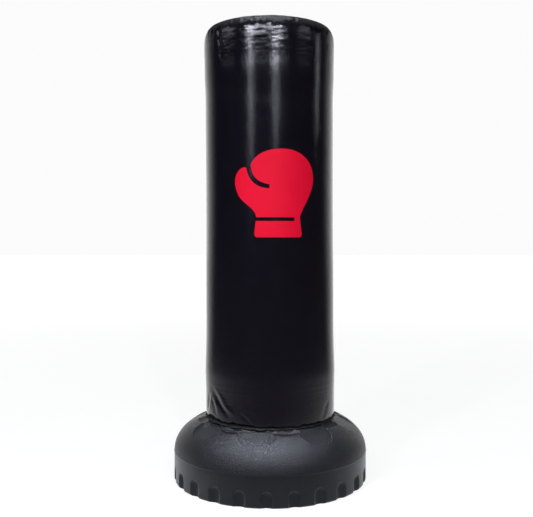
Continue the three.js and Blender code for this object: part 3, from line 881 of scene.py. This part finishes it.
def dome_height(radius):
    """How high the base's dome is at a radius."""
    across = (radius - BASE_RADIUS + DOME_WIDTH) / DOME_WIDTH
    return SKIRT_HEIGHT + DOME_HEIGHT * (1 - across**DOME_POWER) ** (1 / DOME_POWER)


def build_bottom_panel():
    """A disc whose ragged raw edge sticks out below the hem, just clear of the base. Its near-black colour
    and its flare past the hem are partly the panel's own black and partly painted shade for the gap under the
    hem.
    """
    outer, bottom, _ = reach("cover_bottom_panel")
    steps = 720
    azimuth = np.linspace(-math.pi, math.pi, steps, endpoint=False)
    ragged = 1.3 * np.sin(azimuth * 27) * np.sin(azimuth * 4 + 1) + 0.8 * np.sin(azimuth * 61 + 0.4)
    ragged = ragged + 4 * np.exp(-(((azimuth + 0.15) / 0.07) ** 2))
    ragged = ragged + 4 * np.exp(-(((azimuth + 1.13) / 0.04) ** 2))
    # The edge reaches out past the hem over the dome: partly the raw edge, and partly a near-black sheet that
    # paints the shade in the gap under the hem.
    reach_out = 229.5 + 1.6 * ragged
    shares = np.linspace(0, 1, 6)[:, None]
    radius = outer + (reach_out - outer) * shares
    flare = np.maximum(dome_height(radius) + 0.9 + 0.5 * shares, bottom - 7 * shares)
    waves = 0.5 * np.sin(azimuth * 40 + 3 * np.sin(azimuth * 7)) * shares
    radius = np.concatenate([np.full((1, steps), 100.0), radius])
    under = np.concatenate([np.full((1, steps), bottom), flare + waves])
    above = under[::-1] + 1.1
    rows = np.concatenate([radius, radius[::-1], radius[:1]])
    heights = np.concatenate([under, above, under[:1]])
    points = around(azimuth, rows, heights)
    panel = mesh_piece("bottom_panel", points, grid_faces(len(rows), steps), PANEL_BLACK_PAINTED_SHADE, weld=True)
    outward(panel)
    attach(panel, "bag", "vinyl", "cover_bottom_panel")


def build_welts(cover):
    """Vinyl-covered cords: one round the top edge, and one sewn inside the hem."""
    steps = 360
    azimuths = np.linspace(-math.pi, math.pi, steps, endpoint=False)
    lift = 0.35 * np.sin(azimuths * 13) + 0.25 * np.sin(azimuths * 29 + 1)
    top = [(a, WELT_RADIUS + 0.2 * math.sin(a * 21), WELT_HEIGHT + up) for a, up in zip(azimuths, lift)]
    outer, low, high = reach("bottom_welt")
    size = (high - low) / 2
    hem = [(a, outer - size - 2, (low + high) / 2 + 3 + float(hem_rise(a))) for a in azimuths]
    cords = (("top_edge_welt", "top_welt", top, WELT_SIZE), ("hem_welt", "bottom_welt", hem, size))
    for name, node, path, radius in cords:
        cord = swept(name, path, circle(radius, 12), VINYL, closed=True, bend=leaned)
        attach(cord, "bag", "vinyl", node)


# ---------------------------------------------------------------- emblem

EMBLEM_CENTRE = (14, 998)
FILM = (-0.3, 0.35)


def straight(start, end, step=8):
    count = max(1, round(math.dist(start, end) / step))
    return [tuple(np.array(start) + (np.array(end) - start) * k / count) for k in range(count)]


def bezier(start, *curves, steps=12):
    """Points along joined cubic curves, without the last one. Two points alone make a straight line."""
    points = []
    for curve in curves:
        if len(curve) == 1:
            points += straight(start, curve[0])
            start = curve[0]
            continue
        p0, p1, p2, p3 = (np.array(p, float) for p in (start, *curve))
        for t in np.linspace(0, 1, steps, endpoint=False):
            s = 1 - t
            points.append(tuple(s**3 * p0 + 3 * s**2 * t * p1 + 3 * s * t * t * p2 + t**3 * p3))
        start = curve[-1]
    return points


def glove_outline():
    """A plain boxing glove, thumb to the left, in millimetres about its own middle."""
    return bezier(
        (-52, -146),
        [(80, -146)],
        [(88, -146), (92, -142), (92, -134)],
        [(86, -78)],
        [(98, -40), (132, 0), (132, 50)],
        [(132, 110), (92, 146), (30, 146)],
        [(-30, 146), (-72, 122), (-80, 78)],
        [(-88, 86), (-98, 88), (-108, 82)],
        [(-134, 64), (-134, 20), (-112, -14)],
        [(-98, -36), (-62, -50), (-58, -78)],
        [(-64, -134)],
        [(-64, -142), (-60, -146), (-52, -146)],
    )


def glove_slits():
    """The line that sets off the thumb, and the one that sets off the cuff."""
    thumb = bezier(
        (-92, 96),
        [(-76, 96)],
        [(-74, 60), (-60, 36), (-14, 28)],
        [(-14, 15)],
        [(-68, 18), (-88, 50), (-92, 96)],
    )
    cuff = bezier((-80, -92), [(68, -92)], [(68, -80)], [(-80, -80)], [(-80, -92)])
    return [thumb, cuff]


def inside(point, outline):
    x, z = point
    crossings = 0
    for (x0, z0), (x1, z1) in zip(outline, outline[1:] + outline[:1]):
        if (z0 > z) != (z1 > z) and x < x0 + (z - z0) / (z1 - z0) * (x1 - x0):
            crossings += 1
    return crossings % 2 == 1


def build_emblem(cover):
    """A thin film that follows the cover, cut into small cells so that it can bend."""
    shapes = [glove_outline(), *glove_slits()]
    points, edges = [], []
    for shape in shapes:
        first = len(points)
        points += shape
        edges += [(first + k, first + (k + 1) % len(shape)) for k in range(len(shape))]
    points += [(x, z) for x in range(-132, 133, 6) for z in range(-144, 145, 12)]
    flat, _, cells, _, _, _ = delaunay_2d_cdt([Vector(p) for p in points], edges, [], 0, 1e-4)
    kept = []
    for cell in cells:
        middle = sum((flat[k] for k in cell), Vector((0, 0))) / 3
        if inside(middle, shapes[0]) and not any(inside(middle, slit) for slit in shapes[1:]):
            kept.append(list(cell))
    x = np.array([p.x for p in flat]) + EMBLEM_CENTRE[0]
    z = np.array([p.y for p in flat]) + EMBLEM_CENTRE[1]
    azimuth = np.arcsin(x / BAG_RADIUS)
    for _ in range(3):
        azimuth = np.arcsin(x / cover.at(azimuth, z))
    radius = cover.at(azimuth, z)
    layers = [leaned(around(azimuth, radius + out, z)) for out in FILM]
    count = len(flat)
    faces = [[k + count for k in cell] for cell in kept] + [cell[::-1] for cell in kept]
    sides = [(a, b) for cell in kept for a, b in zip(cell, cell[1:] + cell[:1])]
    once = set(sides) - {(b, a) for a, b in sides}
    faces += [[b, b + count, a + count, a] for a, b in sorted(once)]
    film = mesh_piece("emblem_film", np.concatenate(layers), faces, EMBLEM, crisp=40)
    drop_loose(film)
    attach(film, "bag", "emblem_red", "emblem")


# ---------------------------------------------------------------- zip

ZIP_FACE = BAG_RADIUS - 0.1
TOOTH_PITCH = 2.5
SHARP_TURN = 0.7  # radians


def prism_rows(rows, name, material, body, slot_name, bend=None):
    """Many small closed solids in one piece: each is a list of rings of points, all with the same count."""
    points, faces = [], []
    for rings in rows:
        first, count = len(points), len(rings[0])
        for ring in rings:
            points += ring
        for i in range(len(rings) - 1):
            for k in range(count):
                a, b = first + i * count + k, first + i * count + (k + 1) % count
                faces.append([a, b, b + count, a + count])
        faces.append([first + k for k in range(count)][::-1])
        faces.append([first + (len(rings) - 1) * count + k for k in range(count)])
    points = np.array(points, float)
    piece = mesh_piece(name, bend(points) if bend else points, faces, material)
    outward(piece)
    return attach(piece, body, slot_name)


def build_zip_teeth():
    """Moulded teeth whose heads interlock on the middle line."""
    for side, node in ((-1, "zip_teeth_left"), (1, "zip_teeth_right")):
        first = ZIP_BOTTOM + 5 + (TOOTH_PITCH / 2 if side > 0 else 0)
        teeth = []
        for z in np.arange(first + 0.7, ZIP_TOP - 5.5, TOOTH_PITCH):
            rings = []
            for out, half in ((-2.6, 0.85), (-2.2, 1.05), (-0.4, 1.05), (0, 0.75)):
                y = ZIP_FACE + out
                shape = [(4.2, half), (1.7, half * 0.7), (0.2, half), (-0.9, half * 0.8)]
                upper = [(side * x, y, z + h) for x, h in shape]
                rings.append(upper + [(side * x, y, z - h) for x, h in shape[::-1]])
            teeth.append(rings)
        piece = prism_rows(teeth, f"{node}_row", SLOT_MATERIALS["zip_teeth"], "bag", "zip_teeth")
        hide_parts(node)


def build_zip_tapes():
    """Woven tape, with a corded edge under the teeth and a slight ripple between its stitches."""
    for side, node in ((-1, "zip_tape_left"), (1, "zip_tape_right")):
        section = [(1.6, -0.5), (1.9, 0.45), (2.8, 0.75), (3.7, 0.45), (4.6, 0), (10, 0), (17, 0), (17, -0.9)]
        section += [(10, -0.9), (4.4, -0.9)]
        rings = []
        for z in np.linspace(ZIP_BOTTOM, ZIP_TOP, 320):
            wave = 0.12 * math.sin(z * 0.31) + 0.1 * math.sin(z * 0.11)
            rings.append([(side * x, 224.1 + y + (wave if x > 4 else 0), z) for x, y in section])
        piece = prism_rows([rings], f"{node}_woven", SLOT_MATERIALS["zip_tape"], "bag", "zip_tape")
        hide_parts(node)


def build_stitches(cover):
    """A row of thread down each side of the zip's slot, each stitch dipping into the vinyl at its ends."""
    stitches = []
    for side in (-1, 1):
        azimuth = side * (math.pi - SLOT_HALF - 4.2 / BAG_RADIUS)
        for z in np.arange(ZIP_BOTTOM + 3, ZIP_TOP, 5.0):
            rings = []
            radius = float(cover.at(np.array(azimuth), np.array(z)))
            for along, rise in ((-1.9, -0.35), (-1.2, 0.15), (0, 0.32), (1.2, 0.15), (1.9, -0.35)):
                middle = around(azimuth, radius + rise, z + along)
                ring = []
                for t in np.linspace(0, 2 * math.pi, 6, endpoint=False):
                    ring.append(middle + around(azimuth, 0.38 * math.cos(t), 0) + [0.38 * math.sin(t), 0, 0])
                rings.append(ring)
            stitches.append(rings)
    prism_rows(stitches, "zip_stitching", THREAD, "bag", "vinyl")


def rounded(work, edge):
    """Bevels the edges of a bmesh that turn by more than SHARP_TURN, and returns it."""
    sharp = [e for e in work.edges if e.calc_face_angle(0) > SHARP_TURN]
    bmesh.ops.bevel(work, geom=sharp, offset=edge * MM, segments=3, affect="EDGES", profile=0.5)
    return work


def rounded_plate(outline, thickness, edge):
    """A bmesh of an outline in x and z, extruded along y about zero, with every edge rounded."""
    work = bmesh.new()
    face = work.faces.new([work.verts.new((x * MM, -thickness / 2 * MM, z * MM)) for x, z in outline])
    grown = bmesh.ops.extrude_face_region(work, geom=[face])
    lifted = [v for v in grown["geom"] if isinstance(v, bmesh.types.BMVert)]
    bmesh.ops.translate(work, vec=(0, thickness * MM, 0), verts=lifted)
    bmesh.ops.recalc_face_normals(work, faces=work.faces)
    return rounded(work, edge)


def windowed_plate(outline, window, thickness, edge):
    """As rounded_plate, with a hole through it. The hole's outline has as many points as the plate's."""
    work = bmesh.new()
    half = thickness / 2
    loops = ((outline, -half), (outline, half), (window, half), (window, -half))
    rings = [[work.verts.new((x * MM, y * MM, z * MM)) for x, z in loop] for loop, y in loops]
    for ring, following in zip(rings, rings[1:] + rings[:1]):
        for k in range(len(ring)):
            work.faces.new((ring[k - 1], ring[k], following[k], following[k - 1]))
    bmesh.ops.recalc_face_normals(work, faces=work.faces)
    return rounded(work, edge)


def metal_piece(name, node, body, parts):
    """Joins bmeshes, each with the matrix that places it, into one metal piece for a CAD node."""
    joined = bmesh.new()
    for work, place in parts:
        bmesh.ops.transform(work, matrix=place, verts=work.verts)
        mesh = mesh_from(work, name)
        joined.from_mesh(mesh)
        bpy.data.meshes.remove(mesh)
    piece = link(name, mesh_from(joined, name), SLOT_MATERIALS["zip_metal"])
    attach(piece, body, "zip_metal", node)


def at_mm(x, y, z):
    return Matrix.Translation((x * MM, y * MM, z * MM))


def oval(half_width, half_height, sides=20, power=2.6):
    points = []
    for t in np.linspace(0, 2 * math.pi, sides, endpoint=False):
        c, s = math.cos(t), math.sin(t)
        points.append((
            half_width * math.copysign(abs(c) ** (2 / power), c),
            half_height * math.copysign(abs(s) ** (2 / power), s),
        ))
    return points


def build_zip_metal():
    """The slider's two plates and bridge, its puller, and the two end stops."""
    low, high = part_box("zip_slider")
    middle = (low.z + high.z) / 2 / MM
    body = [(-4.2, -11), (4.2, -11), (6.8, 4), (7, 8), (5.6, 11), (-5.6, 11), (-7, 8), (-6.8, 4)]
    bridge = [(-9, 0), (-8.4, 2.6), (-6, 4.3), (-1.5, 4.5), (0.6, 3.6), (1, 0)]
    bridge += [(-0.9, 0), (-1.3, 2), (-5.6, 2.6), (-6.9, 1.6), (-7.2, 0)]
    side_on = Matrix(((0, 1, 0, 0), (0, 0, 1, 0), (1, 0, 0, 0), (0, 0, 0, 1)))
    plates = [
        (rounded_plate(body, 1.5, 0.5), at_mm(0, ZIP_FACE + 1.6, middle)),
        (rounded_plate([(x * 0.9, z) for x, z in body], 1.0, 0.35), at_mm(0, ZIP_FACE - 2.2, middle)),
        (
            rounded_plate([(z, y) for z, y in bridge], 3.2, 0.4),
            at_mm(0, ZIP_FACE + 2.6, middle) @ side_on,
        ),
    ]
    metal_piece("zip_slider_body", "zip_slider", "zip_slider", plates)
    low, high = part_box("zip_puller")
    pivot = at_mm(0, (low.y + high.y) / 2 / MM, high.z / MM - 0.9)
    tab = [(x * (1 + z / 160), z - 15.9) for x, z in oval(4.6, 16.7, 44, 4)]
    window = [(x, z - 6.5) for x, z in oval(2.6, 5.3, 44, 3)]
    plate = windowed_plate(tab, window, 1.8, 0.4)
    metal_piece("zip_puller_tab", "zip_puller", "zip_puller", [(plate, pivot)])
    for name, node in (("zip_end_stop_lower", "zip_bottom_stop"), ("zip_end_stop_upper", "zip_top_stop")):
        low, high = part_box(node)
        height = (low.z + high.z) / 2 / MM
        stop = rounded_plate(oval(5, 2.1, 16, 4), 3.0, 0.5)
        metal_piece(name, node, "bag", [(stop, at_mm(0, ZIP_FACE - 1, height))])


# ---------------------------------------------------------------- light and camera


COOL = (0.90, 0.94, 1.0)


def facing(place, target):
    """The rotation that turns a lamp at a place towards a target."""
    return (Vector(target) - Vector(place)).to_track_quat("-Z", "Y").to_euler()


def area_light(name, place, target, size, power):
    data = bpy.data.lights.new(name, "AREA")
    data.shape = "RECTANGLE"
    data.size, data.size_y = size
    data.energy = power
    data.color = COOL
    lamp = bpy.data.objects.new(name, data)
    bpy.context.scene.collection.objects.link(lamp)
    lamp.location = place
    lamp.rotation_euler = facing(place, target)


def build_stage():
    """A pale floor to the camera. The object is lit by a pattern on it that the camera doesn't see."""
    mesh = bpy.data.meshes.new("floor")
    mesh.from_pydata([(-40, -40, 0), (40, -40, 0), (40, 40, 0), (-40, 40, 0)], [], [(0, 1, 2, 3)])
    n = Nodes("floor_paint")
    split = n.add("ShaderNodeSeparateXYZ")
    n.set(split, Vector=n.coords)
    length = n.add("ShaderNodeVectorMath", operation="LENGTH")
    n.set(length, Vector=n.coords)
    distance = length.outputs["Value"]
    paint = n.mix(n.noise(3, 2), (0.24, 0.24, 0.24), (0.26, 0.26, 0.26))
    shown = n.map(distance, 1.5, 7.0, 0.80, 0.92)
    n.finish(Base_Color=paint, Roughness=0.95, Emission_Color=(1, 1, 1, 1), Emission_Strength=shown)
    behind = n.maths("DIVIDE", split.outputs[1], distance)
    near = n.map(distance, 3.2, 0.8, 0, 1)
    close_glow = n.maths("MULTIPLY", n.map(behind, -1, 1, 0.10, 1.05), near)
    far_glow = n.maths("MULTIPLY", n.map(behind, 0.45, 1.0, 0, 1.15), n.map(distance, 0.8, 3.2, 0, 1))
    glow = n.maths("ADD", n.maths("ADD", close_glow, far_glow), n.map(distance, 0.4, 0.9, 0.30, 0.07))
    bounce = n.set(n.add("ShaderNodeEmission"), Strength=glow)
    seen = n.add("ShaderNodeLightPath").outputs["Is Camera Ray"]
    either = n.add("ShaderNodeMixShader")
    n.tree.links.new(seen, either.inputs[0])
    n.tree.links.new(bounce.outputs[0], either.inputs[1])
    n.tree.links.new(n.bsdf.outputs[0], either.inputs[2])
    n.tree.links.new(either.outputs[0], n.tree.nodes["Material Output"].inputs["Surface"])
    link("floor", mesh, n.material)


def build_world():
    """Lights the object from behind and low down. The camera itself sees near white."""
    world = bpy.data.worlds.new("studio")
    bpy.context.scene.world = world
    world.use_nodes = True
    tree = world.node_tree
    nodes, links = tree.nodes, tree.links
    background = nodes["Background"]
    coords = nodes.new("ShaderNodeTexCoord")
    split = nodes.new("ShaderNodeSeparateXYZ")
    links.new(coords.outputs["Generated"], split.inputs[0])
    behind, low, high = (nodes.new("ShaderNodeMapRange") for _ in range(3))
    ramps = (
        (behind, 1, (0.3, 1, 0.035, 1.3)),
        (low, 2, (0.5, 0.12, 0.04, 1)),
        (high, 2, (0.4, 1, 0, 0.45)),
    )
    for ramp, axis, limits in ramps:
        ramp.interpolation_type = "SMOOTHSTEP"
        links.new(split.outputs[axis], ramp.inputs["Value"])
        for socket, value in zip(("From Min", "From Max", "To Min", "To Max"), limits):
            ramp.inputs[socket].default_value = value
    glow = nodes.new("ShaderNodeMath")
    glow.operation = "MULTIPLY_ADD"
    for ramp, socket in zip((behind, low, high), glow.inputs):
        links.new(ramp.outputs[0], socket)
    path = nodes.new("ShaderNodeLightPath")
    mix = nodes.new("ShaderNodeMix")
    links.new(path.outputs["Is Camera Ray"], mix.inputs[0])
    links.new(glow.outputs[0], mix.inputs[2])
    mix.inputs[3].default_value = 0.97
    links.new(mix.outputs[0], background.inputs["Strength"])
    background.inputs["Color"].default_value = (1, 1, 1, 1)


def build_camera():
    data = bpy.data.cameras.new("camera")
    data.sensor_width = 36
    data.lens = 49.97
    data.shift_x = -0.0069
    data.shift_y = -0.0332
    camera = bpy.data.objects.new("camera", data)
    bpy.context.scene.collection.objects.link(camera)
    camera.location = (0, -2.652, 0.8408)
    camera.rotation_euler = (math.pi / 2, 0, 0)
    bpy.context.scene.camera = camera


def build_lights():
    """An overhead lamp, a window, two walls, a spot on the dome, and a ceiling and two strips in front."""
    area_light("overhead", (-0.1, -0.6, 3.3), (0, -0.25, 0), (2.0, 1.4), 16)
    area_light("ceiling", (-0.6, -4.5, 3.35), (0, 0, 1.4), (6.0, 0.5), 150)
    area_light("right_window", (5.2, 0.16, 2.5), (0, 0, 1.4), (0.04, 0.9), 3.5)
    for name, x, y, power in (("left_wall", -5.0, -1.2, 16), ("right_wall", 4.6, -2.4, 9)):
        area_light(name, (x, y, 3.5), (0, 0, 1.5), (2.4, 0.9), power)
    parts = (("low", 2.0, 0.9), ("middle", 2.7, 0.5), ("high", 3.5, 1.1))
    for side, x, y, powers in (("left", -2.85, -4.6, (4, 6, 58)), ("right", 0.98, -5.2, (3, 7, 80))):
        for (part, z, height), power in zip(parts, powers):
            area_light(f"strip_{side}_{part}", (x, y, z), (0, 0, z), (0.08, height), power)
    spot = bpy.data.objects.new("dome_spot", bpy.data.lights.new("dome_spot", "SPOT"))
    bpy.context.scene.collection.objects.link(spot)
    spot.location = (-0.3, -0.6, 3.0)
    spot.rotation_euler = facing(spot.location, (0, -0.5, 0.2))
    spot.data.energy = 430
    spot.data.color = COOL
    spot.data.shadow_soft_size = 0.14
    spot.data.spot_size = 2 * math.atan(0.46 / 2.8)
    spot.data.spot_blend = 0.4


dress_cad_nodes()
build_base()
build_neck_thread()
build_filler_spout()
build_filler_cap()
cover_surface = Cover()
build_side_cover(cover_surface)
build_top_panel()
build_bottom_panel()
build_welts(cover_surface)
build_emblem(cover_surface)
build_zip_teeth()
build_zip_tapes()
build_stitches(cover_surface)
build_zip_metal()
build_stage()
build_world()
build_camera()
build_lights()
bpy.context.scene.view_settings.view_transform = "Standard"
